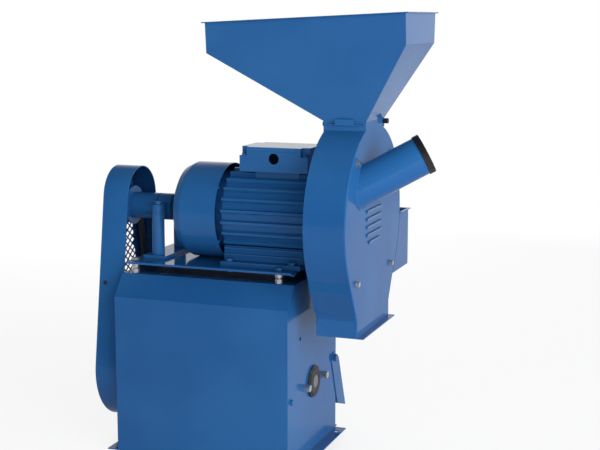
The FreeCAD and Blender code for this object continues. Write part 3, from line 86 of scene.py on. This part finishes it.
class Finish:
    """A material of nodes in the making; kind "worlds" makes the world's light instead."""

    def __init__(self, name, kind="materials"):
        self.block = getattr(bpy.data, kind).new(name)
        self.block.use_nodes = True
        self.tree = self.block.node_tree
        self.tree.nodes.clear()

    def add(self, kind, settings=None, out=0, **sockets):
        """A node from its type, its settings, and its sockets by name, or by place as at0, at1."""
        node = self.tree.nodes.new("ShaderNode" + kind)
        for key, value in (settings or {}).items():
            setattr(node, key, value)
        for key, value in sockets.items():
            place = int(key[2:]) if key.startswith("at") else key.replace("_", " ")
            if isinstance(value, Wire):
                self.tree.links.new(value.socket, node.inputs[place])
            else:
                node.inputs[place].default_value = value
        return Wire(self, node.outputs[out]) if node.outputs else None

    def place(self):
        return self.add("TexCoord", out="Object")

    def noise(self, scale, detail=2.0, stretch=(1, 1, 1), roughness=0.5):
        where = self.add("Mapping", at0=self.place(), Scale=stretch)
        return self.add("TexNoise", Vector=where, Scale=scale, Detail=detail, Roughness=roughness)

    def between(self, value, low, high):
        """0 below low, 1 above high, a soft step between."""
        return self.add("MapRange", {"interpolation_type": "SMOOTHSTEP"}, at0=value, at1=low, at2=high)

    def larger(self, first, second):
        return self.add("Math", {"operation": "MAXIMUM"}, at0=first, at1=second)

    def tint(self, mask, first, second):
        return self.add("Mix", {"data_type": "RGBA"}, out=2, at0=mask, at6=first, at7=second)

    def bump(self, height, depth, **under):
        """Relief of a depth in metres, over another normal if one is given as Normal."""
        return self.add("Bump", Height=height, Distance=depth, Strength=1.0, **under)

    def surface(self, **sockets):
        self.add("OutputMaterial", Surface=self.add("BsdfPrincipled", **sockets))
        return self.block


def colour(red, green, blue):
    """A colour written as it looks on the screen, 0 to 255."""
    def linear(step):
        share = step / 255
        return share / 12.92 if share <= 0.04045 else ((share + 0.055) / 1.055) ** 2.4
    return (linear(red), linear(green), linear(blue), 1.0)


def blue_enamel(name, shade, bright, shine=0.2, dull=0.09):
    """Sprayed gloss enamel: slow tone drift, faint orange peel, a little dust in the matt patches."""
    paint = Finish(name)
    drift = paint.between(paint.noise(scale=4.0, detail=3.0), low=0.3, high=0.7)
    peel = paint.noise(scale=420.0, detail=1.0)
    runs = paint.noise(scale=26.0)
    patch = paint.between(paint.noise(scale=11.0, detail=4.0, roughness=0.6), low=0.46, high=0.72)
    dust = paint.between(paint.noise(scale=900.0), low=0.66, high=0.8) * 0.25
    base = paint.tint(drift, colour(*shade), colour(*bright))
    dusty = paint.tint(dust, base, colour(120, 150, 185))
    normal = paint.bump(peel, depth=0.00001, Normal=paint.bump(runs, depth=0.0002))
    return paint.surface(Base_Color=dusty, Roughness=dull + patch * 0.08, Metallic=0.0,
                         Specular_IOR_Level=shine, Normal=normal)


def soften(node, edge):
    """Joins a solid's flat facets, rounds its sharp edges a little and shades its curves smoothly."""
    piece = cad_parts[node]
    mesh = piece.data
    if "custom_normal" in mesh.attributes:
        mesh.attributes.remove(mesh.attributes["custom_normal"])
    for facet in mesh.polygons:
        facet.use_smooth = True
    weld = piece.modifiers.new("joined corners", "WELD")
    weld.merge_threshold = 0.00001
    flats = piece.modifiers.new("whole flats", "DECIMATE")
    flats.decimate_type = "DISSOLVE"
    flats.angle_limit = math.radians(0.4)
    flats.delimit = {"MATERIAL"}
    if edge:
        bevel = piece.modifiers.new("rounded edges", "BEVEL")
        bevel.width = edge
        bevel.segments = 2
        bevel.limit_method = "ANGLE"
        bevel.angle_limit = math.radians(28)
    creases = piece.modifiers.new("creases", "EDGE_SPLIT")
    creases.split_angle = math.radians(46 if edge else 30)
    shading = piece.modifiers.new("even shading", "WEIGHTED_NORMAL")
    shading.mode = "FACE_AREA"
    shading.keep_sharp = True
    return piece


machined_edge = 0.0004
blunt_edge = 0.0006


def dress(node, finish, edge=machined_edge, second=None, where=None):
    """Gives a solid its finish, and a second one on the facets that a test picks out."""
    mesh = soften(node, edge).data
    mesh.materials.clear()
    mesh.materials.append(finish)
    if second:
        mesh.materials.append(second)
    for facet in mesh.polygons:
        facet.material_index = int(second is not None and where(facet))


enamel = blue_enamel("blue enamel", shade=(27, 79, 134), bright=(36, 90, 144))
# Much darker, dull blue enamel: painted shade for surfaces under and inside other parts.
painted_shade_coat = blue_enamel("dark blue as painted shade", shade=(12, 44, 84), bright=(17, 54, 98),
                        shine=0.03, dull=0.5)
for panel in ("cabinet_front_panel", "cabinet_rear_panel", "left_side_panel", "right_side_panel"):
    dress(panel, enamel, blunt_edge)
dress("cabinet_top", painted_shade_coat, blunt_edge)


# Self-tapping screws in the panel flanges, the guard and the throat.
# Pressed steel heads, painted over with the panels, so only the recesses stay dark.

fine_edge = 0.0003
dress("panel_screws", enamel, fine_edge)


# Two flange bearings of the sheller shaft and the bolts that hold them to the side panels.
# Sand-cast iron under dull dark paint; the bolts are zinc-plated, with spacer sleeves painted blue.

def dark_casting():
    """Sand-cast iron under thin dark paint, worn to metal on the high grains."""
    iron = Finish("dark casting")
    grain = iron.noise(scale=260.0, detail=4.0, roughness=0.7)
    worn = iron.between(iron.noise(scale=30.0, detail=5.0, roughness=0.65), low=0.56, high=0.74)
    base = iron.tint(worn, colour(52, 56, 62), colour(96, 98, 100))
    return iron.surface(Base_Color=base, Roughness=0.62 - worn * 0.2, Metallic=0.35 + worn * 0.4,
                        Normal=iron.bump(grain, depth=0.0003))


def zinc_plate():
    """Bright zinc plating on bolts, nuts and studs, with a faint spangle."""
    zinc = Finish("zinc plate")
    spangle = zinc.add("TexVoronoi", {"feature": "F1"}, out="Color", Vector=zinc.place(), Scale=320.0)
    light = zinc.add("SeparateColor", Color=spangle)
    base = zinc.tint(light, colour(168, 172, 176), colour(214, 217, 220))
    return zinc.surface(Base_Color=base, Roughness=0.28 + light * 0.16, Metallic=0.9)


casting = dark_casting()
zinc = zinc_plate()
cast_edge = 0.0008
right_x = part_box("right_side_panel")[1].x
left_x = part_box("left_side_panel")[0].x
sleeve_length = 0.0102


def past_sleeve(facet):
    """True on the bolt heads outside the sleeves and on the nuts inside the cabinet."""
    x = facet.center.x
    return x > right_x + sleeve_length or x < left_x - sleeve_length or left_x < x < right_x


dress("sheller_bearings", casting, cast_edge)
dress("sheller_bearing_bolts", enamel, second=zinc, where=past_sleeve)


# Sheller shaft with the toothed shelling disc, and the sloping bar grate that the cobs slide out on.
# The shaft is turned from bright bar, the disc is cast iron and the grate is welded from steel bars.

def turned_steel(name, low, high):
    """Steel turned about the X axis: fine rings across it, a few duller stains."""
    steel = Finish(name)
    rings = steel.noise(scale=900.0, detail=1.0, stretch=(1, 0.02, 0.02))
    stain = steel.between(steel.noise(scale=18.0, detail=4.0), low=0.52, high=0.75)
    base = steel.tint(rings, colour(*low), colour(*high))
    return steel.surface(Base_Color=base, Roughness=0.26 + stain * 0.24, Metallic=1.0,
                         Normal=steel.bump(rings, depth=0.00005))


steel = turned_steel("turned steel", low=(120, 123, 127), high=(168, 170, 173))
dress("sheller_shaft", steel)
dress("shelling_disc", casting, blunt_edge)
dress("cob_grate", steel, edge=0)


# Pressure plate that holds the ears against the disc, with its bracket, adjusting screw and coil spring.
# Cast plate, zinc-plated bracket and screw; the spring is wound from hardened wire.
# The coil is wound here as a new piece and stands in place of the part's own spring.

def turns(count):
    """Angles that share a full circle."""
    return [math.tau * n / count for n in range(count)]


def stand(name, data):
    """A new object in the scene."""
    item = bpy.data.objects.new(name, data)
    bpy.context.scene.collection.objects.link(item)
    return item


def new_piece(name, loops, finish, body, ring=False):
    """A closed skin through loops of equally many points, riding on a body of the machine."""
    count = len(loops[0])
    rows = len(loops) if ring else len(loops) - 1
    faces = []
    for row in range(rows):
        here = row * count
        there = (row + 1) % len(loops) * count
        for n in range(count):
            after = (n + 1) % count
            faces.append((here + n, here + after, there + after, there + n))
    if not ring:
        faces.append(tuple(range(count)))
        faces.append(tuple(range(rows * count, (rows + 1) * count)))
    mesh = bpy.data.meshes.new(name)
    mesh.from_pydata([tuple(point) for loop in loops for point in loop], [], faces)
    skin = bmesh.new()
    skin.from_mesh(mesh)
    bmesh.ops.recalc_face_normals(skin, faces=skin.faces)
    skin.to_mesh(mesh)
    skin.free()
    for facet in mesh.polygons:
        facet.use_smooth = len(facet.vertices) == 4
    mesh.materials.append(finish)
    piece = stand(name, mesh)
    creases = piece.modifiers.new("creases", "EDGE_SPLIT")
    creases.split_angle = math.radians(35)
    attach(piece, body)
    return piece


def round_section(core, outward, radius, sides):
    """A ring of points about a core, in the plane of the X axis and one direction across it."""
    return [core + outward * radius * math.cos(turn) + Vector((radius * math.sin(turn), 0, 0))
            for turn in turns(sides)]


hardened = turned_steel("hardened steel", low=(78, 80, 84), high=(126, 128, 132))
dress("pressure_plate", casting, blunt_edge)
dress("pressure_bracket", zinc)
dress("adjusting_screw", zinc)
dress("pressure_spring", hardened, edge=0)

coil_low, coil_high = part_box("pressure_spring")
coil_middle = (coil_low + coil_high) / 2
wire_radius = 0.0014
coil_radius = (coil_high.y - coil_low.y) / 2 - wire_radius
coil_length = coil_high.x - coil_low.x - 2 * wire_radius
coil_turns = 5
steps_in_turn = 28
coil_steps = coil_turns * steps_in_turn
coil_loops = []
for step in range(coil_steps + 1):
    turn = math.tau * step / steps_in_turn
    outward = Vector((0, math.sin(turn), math.cos(turn)))
    along = coil_low.x + wire_radius + coil_length * step / coil_steps
    core = Vector((along, coil_middle.y, coil_middle.z)) + outward * coil_radius
    coil_loops.append(round_section(core, outward, wire_radius, sides=10))
coil = new_piece("sprung-coil", coil_loops, hardened, "frame")
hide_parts("pressure_spring")
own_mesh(coil)


# Flap over the cob outlet, hung from two pivot screws at the rear of the cabinet.
# One folded sheet with its cheeks welded on, painted with the cabinet.

folded_edge = 0.0005
dress("cob_flap", enamel, folded_edge)
dress("flap_pivots", enamel)


# Trough for the ears of maize, behind the mill.
# Folded and seam-welded sheet with a turned-out lip, painted.

dress("ear_trough", enamel, folded_edge)


# Motor plate on its four threaded studs above the cabinet.
# Four-millimetre plate in enamel, with a much darker blue underneath as painted shade; studs and nuts are
# bright zinc.
# The nuts on top of the plate at the mill's end are sprayed over with it.

skin_margin = 0.001
plate_middle = sum(corner.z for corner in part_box("motor_plate")) / 2
# Facets on the underside take the much darker blue: painted shade under the plate.
dress("motor_plate", enamel, blunt_edge, second=painted_shade_coat,
      where=lambda facet: facet.center.z < plate_middle - skin_margin)
dress("plate_studs", zinc, second=enamel,
      where=lambda facet: facet.center.z > plate_middle and facet.center.x > 0)


# Belt guard: a bent rim of sheet with an expanded-metal face, screwed to the cabinet.
# Enamelled outside, with a much darker blue inside the rim as painted shade. A small dark screw sits in
# its front strip.

def touch(node, start, heading):
    """Where a straight line first meets a solid, and which way that surface faces."""
    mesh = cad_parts[node].data
    corners = [point.co for point in mesh.vertices]
    tree = BVHTree.FromPolygons(corners, [facet.vertices[:] for facet in mesh.polygons])
    return tree.ray_cast(Vector(start), Vector(heading))[:2]


def pan_head(name, spot, facing, radius, height, finish, body):
    """A domed screw head with a round recess, on a surface."""
    side = facing.orthogonal().normalized()
    other = facing.cross(side)
    loops = []
    for share, lift in ((0.98, -0.1), (1.0, 0.35), (0.86, 0.75), (0.5, 0.97), (0.34, 0.97), (0.3, 0.45)):
        middle = spot + facing * height * lift
        loops.append([middle + (side * math.cos(turn) + other * math.sin(turn)) * radius * share
                      for turn in turns(24)])
    return new_piece(name, loops, finish, body)


rim_middle = sum(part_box("belt_guard_rim"), Vector()) / 2


def faces_inwards(facet):
    away = facet.center - rim_middle
    return facet.normal.y * away.y + facet.normal.z * away.z < -0.001


# Inward-facing facets of the rim take the much darker blue: painted shade inside the guard.
dress("belt_guard_rim", enamel, folded_edge, second=painted_shade_coat, where=faces_inwards)
dress("guard_mesh", enamel, edge=0)
in_front = -0.3
backwards = (0, 1, 0)
guard_screw_x = -0.2228
guard_screw_z = 0.3163
spot, facing = touch("belt_guard_rim", (guard_screw_x, in_front, guard_screw_z), backwards)
pan_head("guard-front-screw", spot, facing, radius=0.0042, height=0.0024, finish=casting, body="frame")


# Large pulley on the sheller shaft, small pulley on the motor's line, and the V-belt over both.
# The pulleys are cast iron, the small one painted with the motor; the belt is moulded rubber.

def black_rubber():
    """Moulded rubber: dull, with a fine skin and slight bloom."""
    rubber = Finish("black rubber")
    skin = rubber.noise(scale=700.0)
    bloom = rubber.between(rubber.noise(scale=22.0, detail=3.0), low=0.5, high=0.75)
    base = rubber.tint(bloom, colour(22, 22, 24), colour(40, 40, 42))
    return rubber.surface(Base_Color=base, Roughness=0.55 + bloom * 0.15, Metallic=0.0,
                          Normal=rubber.bump(skin, depth=0.00012))


rubber = black_rubber()
# A darker blue enamel that stands for painted shade in hollows and under the guard.
shade_darkened_enamel = blue_enamel("blue enamel darkened as painted shade", shade=(23, 72, 124), bright=(31, 83, 138))
dress("sheller_pulley", casting, folded_edge)
# The small pulley takes the darker blue of painted shade.
dress("upper_pulley", shade_darkened_enamel, folded_edge)
dress("v_belt", rubber, fine_edge)


# Outboard bearing of the small pulley: a cast block between two round posts on a welded foot.
# Painted in place with the plate; its bolts and the motor's are painted over too.

# The block takes the same darker blue of painted shade.
dress("bearing_block", shade_darkened_enamel, blunt_edge)
dress("bearing_stand", enamel, blunt_edge)
dress("motor_bolts", enamel)


# Electric motor's body: finned frame, two end shields and the feet, with their casting ribs.
# Cast aluminium in blue enamel; the fin valleys and the feet take a darker blue as painted shade, and the
# end shields the much darker blue as painted shade under the cowl.

motor_low, motor_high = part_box("motor_shaft")
axis_height = (motor_low.z + motor_high.z) / 2


def off_axis(point):
    return math.hypot(point.y, point.z - axis_height)


fin_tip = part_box("motor_frame")[1].y
fin_lit = 0.004
# Facets below the fin tips take the darker blue: painted shade in the fin valleys, with only the tips in
# the lit enamel.
dress("motor_frame", enamel, second=shade_darkened_enamel,
      where=lambda facet: off_axis(facet.center) < fin_tip - fin_lit)
dress("motor_end_shields", painted_shade_coat, cast_edge)
dress("motor_feet", shade_darkened_enamel, blunt_edge)

feet_low, feet_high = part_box("motor_feet")
rib_inset = 0.001
rib_heights = (0.0195, 0.031)
rib_outline = [(-0.001, -0.0017), (0.005, -0.001), (0.005, 0.001), (-0.001, 0.0017)]
beside = 0.2
for number, height in enumerate(rib_heights, start=1):
    for side, place in ((-1, "front"), (1, "rear")):
        start = ((feet_low.x + feet_high.x) / 2, side * beside, feet_low.z + height)
        web = touch("motor_feet", start, (0, -side, 0))[0]
        rib_loops = [[Vector((x, web.y + side * out, web.z + rise)) for out, rise in rib_outline]
                     for x in (feet_low.x + rib_inset, feet_high.x - rib_inset)]
        new_piece("motor-foot-rib-%s-%d" % (place, number), rib_loops, enamel, "frame")


# Motor's fan and the cowl over it.
# The cowl is drawn from sheet and enamelled outside, with a much darker blue inside as painted shade; the
# fan is moulded nylon.

def black_moulding():
    """Black nylon with a fine spark-eroded grain."""
    moulding = Finish("black moulding")
    grain = moulding.noise(scale=900.0, detail=1.0)
    tone = moulding.noise(scale=30.0)
    base = moulding.tint(tone, colour(18, 18, 20), colour(34, 34, 37))
    return moulding.surface(Base_Color=base, Roughness=0.38 + tone * 0.12, Metallic=0.0,
                            Normal=moulding.bump(grain, depth=0.00006))


moulding = black_moulding()
cowl_low, cowl_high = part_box("fan_cowl")
cowl_radius = (cowl_high.y - cowl_low.y) / 2
cowl_shoulder_x = -0.04


def inside_cowl(facet):
    return facet.center.x > cowl_shoulder_x and off_axis(facet.center) < cowl_radius - skin_margin


# Facets inside the cowl take the much darker blue: painted shade.
dress("fan_cowl", enamel, blunt_edge, second=painted_shade_coat, where=inside_cowl)
dress("motor_fan", moulding)


# Inside of the motor: stator with its winding, rotor core, shaft and two ball bearings.
# Stamped laminations, lacquered copper wire and ground steel, all unpainted.

def winding_copper():
    """Lacquered copper wire, laid in strands along the slots."""
    copper = Finish("lacquered winding")
    strands = copper.noise(scale=500.0, detail=1.0, stretch=(0.1, 1, 1))
    base = copper.tint(strands, colour(120, 62, 34), colour(186, 112, 70))
    return copper.surface(Base_Color=base, Roughness=0.3 + strands * 0.2, Metallic=0.8,
                          Normal=copper.bump(strands, depth=0.0004))


dress("stator", winding_copper())
dress("rotor_core", steel)
dress("motor_shaft", steel)
dress("motor_bearings", steel, fine_edge)


# Terminal box on the motor with its lid, and the screws of the lid and the cowl.
# Cast box with an empty cable hole, pressed lid, all enamelled with the motor.

dress("terminal_box", enamel, blunt_edge)
dress("terminal_lid", enamel, blunt_edge)
dress("motor_screws", enamel, fine_edge)


# Casing of the hammer mill: a bent rim on its back plate, and the cover with louvres and bag lip.
# Welded and enamelled sheet; the cover hangs on four spacers and is held by four zinc-plated bolts.
# Across the front the upper sheet laps over the lower one; the upper slope of the step takes a darker blue
# as painted shade.

dress("mill_casing", enamel, blunt_edge)
dress("mill_cover", enamel, folded_edge)
dress("cover_spacers", zinc)
dress("cover_bolts", zinc)

lap_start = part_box("mill_casing")[0].x + 0.0003
lap_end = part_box("mill_cover")[0].x
lap_depth = 0.0008
step_height = 0.35
height_and_proud = [(0.3635, 0.0001), (0.3460, 0.0042), (0.3445, 0.0042), (0.2960, 0.0004)]
lap_outer = []
lap_inner = []
for height, proud in height_and_proud:
    spot, facing = touch("mill_casing", ((lap_start + lap_end) / 2, in_front, height), backwards)
    lap_outer.append(spot + facing * proud)
    lap_inner.append(spot - facing * lap_depth)
lap_loop = lap_outer + list(reversed(lap_inner))
lap_loops = [[Vector((x, point.y, point.z)) for point in lap_loop] for x in (lap_start, lap_end)]
lap = new_piece("casing-front-lap", lap_loops, enamel, "frame")
lap.data.materials.append(blue_enamel("blue enamel darkened as painted shade on the lap", shade=(18, 76, 128), bright=(24, 86, 140)))
# Facets above the step height take the darker blue: painted shade on the lap's upper slope.
for facet in lap.data.polygons:
    facet.use_smooth = False
    facet.material_index = int(facet.center.z > step_height)


# Drum of the mill: two toothed breaker plates above and the perforated screen below.
# Bare hardened plate and punched steel sheet, bolted inside the casing.

dress("breaker_plates", hardened)
dress("grinding_screen", steel, edge=0.0002)


# Rotor of the mill: hub with its two discs, four pins, four swing hammers and the bolt on the shaft end.
# Turned and milled from bare steel; each hammer is a hardened bar that hangs loose on its pin.

dress("rotor_hub", steel, folded_edge)
dress("hammer_pins", steel, fine_edge)
dress("rotor_bolt", zinc)
for number in range(1, 5):
    dress("hammer_%d" % number, hardened, folded_edge)


# Feed throat with its slide gate and the black lock knob, under the hopper.
# Welded frame in enamel; the gate is a flat plate with a turned-up lip to pull it by.

dress("throat_frame", enamel, folded_edge)
dress("slide_gate", enamel)
dress("gate_lock_knob", moulding, folded_edge)


# Tilted hopper with a rolled-out rim, standing on the throat frame.
# Folded from sheet and welded at its four corners, with the same enamel inside and out.

dress("hopper", enamel, folded_edge)


# Side feed tube on the mill cover, cut at a slant and welded on, with a rubber ring over its mouth.
# Steel tube in enamel; the ring is soft black rubber.
# The weld is a round bead whose width ripples a little round the slanted cut.

dress("feed_tube", enamel)
dress("tube_collar", rubber, folded_edge)

tube_radius = 0.035
tube_base = Vector((0.295, -0.076, 0.527))
tube_along = Vector((0.8236, 0.3228, 0.4664)).normalized()
tube_side = tube_along.cross(Vector((1, 0, 0))).normalized()
tube_over = tube_along.cross(tube_side)
bead_radius = 0.0022
bead_ripples = 36
bead_loops = []
for turn in turns(144):
    outward = tube_side * math.cos(turn) + tube_over * math.sin(turn)
    root = tube_base + outward * tube_radius
    root += tube_along * (tube_base.x - root.x) / tube_along.x
    away = Vector((0, outward.y, outward.z)).normalized()
    thick = bead_radius * (1 + 0.1 * math.sin(bead_ripples * turn))
    bead_loops.append(round_section(root, away, thick, sides=8))
new_piece("feed-tube-weld-bead", bead_loops, enamel, "frame", ring=True)


# Pale studio floor under the machine: a large round sheet of matt grey-white board.
# It takes the real soft shadow near the feet; its fade to plain white begins just past the cabinet, so a
# darker ring round the machine is painted shade.

white = (1.0, 1.0, 1.0, 1.0)
board = (0.8, 0.81, 0.83, 1.0)
floor_radius = 9
floor_height = -0.0005
floor_mesh = bpy.data.meshes.new("studio floor")
floor_rim = [(floor_radius * math.cos(turn), floor_radius * math.sin(turn), floor_height)
             for turn in turns(96)]
floor_mesh.from_pydata(floor_rim, [], [tuple(range(len(floor_rim)))])
floor = stand("studio floor", floor_mesh)
pale = Finish("studio floor")
distance = pale.add("VectorMath", {"operation": "LENGTH"}, out="Value", at0=pale.place())
far = pale.between(distance, low=1.1, high=2.8)
# Closer in, the camera sees the lit board, darker than the white beyond: a painted shade ring round the
# machine.
outside = pale.between(distance, low=0.1, high=0.24)
seen = pale.add("LightPath", out="Is Camera Ray")
bright = pale.larger(far * (seen * 0.7 + 0.3), seen * outside * 0.85)
near_floor = pale.add("BsdfDiffuse", Color=board)
far_floor = pale.add("Emission", Color=white, Strength=1.0)
pale.add("OutputMaterial", Surface=pale.add("MixShader", at0=bright, at1=near_floor, at2=far_floor))
floor_mesh.materials.append(pale.block)


# Pale studio room with a darker ceiling and a dim side behind the camera.
# The camera sees plain white, and the gloss paint mirrors white from behind the machine.
# Three wide soft lamps light it from the right, the front and the rear.

sky = Finish("pale room", kind="worlds")
bpy.context.scene.world = sky.block
heading = sky.add("TexCoord", out="Generated")
up = sky.add("SeparateXYZ", out="Z", Vector=heading)
back = sky.add("SeparateXYZ", out="Y", Vector=heading)
ceiling = sky.between(up, low=0.15, high=0.8)
behind = sky.between(back, low=-0.4, high=0.3)
camera_ray = sky.add("LightPath", out="Is Camera Ray")
glossy = sky.add("LightPath", out="Is Glossy Ray")
shiny = sky.larger(glossy, sky.add("LightPath", out="Is Transmission Ray"))
plain = sky.larger(camera_ray, shiny * (1 - ceiling * 0.9) * behind)
walls = sky.add("Background", Color=white, Strength=0.55)
above = sky.add("Background", Color=white, Strength=0.1)
unlit = sky.add("Background", Color=white, Strength=0.04)
backdrop = sky.add("Background", Color=white, Strength=1.0)
room = sky.add("MixShader", at0=ceiling, at1=walls, at2=above)
mirrored_room = sky.add("MixShader", at0=glossy * (1 - behind), at1=room, at2=unlit)
sky.add("OutputWorld", Surface=sky.add("MixShader", at0=plain, at1=mirrored_room, at2=backdrop))

machine_middle = Vector((0, 0, 0.4))


def lamp(name, place, size, power):
    """A wide square lamp that faces the machine and leaves no mirror image on the paint."""
    light = bpy.data.lights.new(name, "AREA")
    light.shape = "SQUARE"
    light.size = size
    light.energy = power
    holder = stand(name, light)
    holder.location = place
    holder.rotation_euler = (machine_middle - Vector(place)).to_track_quat("-Z", "Y").to_euler()
    holder.visible_glossy = False


lamp("right lamp", place=(3.2, -1.7, 1.1), size=3.4, power=190)
lamp("front lamp", place=(1.2, -3.0, 0.8), size=2.0, power=34)
lamp("rear lamp", place=(-1.6, 2.8, 1.6), size=2.2, power=75)


# Camera at the photograph's place: in front and to the right, a little above the casing, looking down.
# A long lens on a 36 mm sensor, worked out from the straight edges of the cabinet.

camera_place = (0.9584, -2.2006, 0.8216)
camera_aim = Vector((-0.3408, 0.9262, -0.1616))
lens = bpy.data.cameras.new("camera")
lens.sensor_width = 36.0
lens.lens = 75.54
lens.clip_end = 60.0
camera = stand("camera", lens)
camera.location = camera_place
camera.rotation_euler = camera_aim.to_track_quat("-Z", "Y").to_euler()
bpy.context.scene.camera = camera
bpy.context.scene.view_settings.view_transform = "Standard"
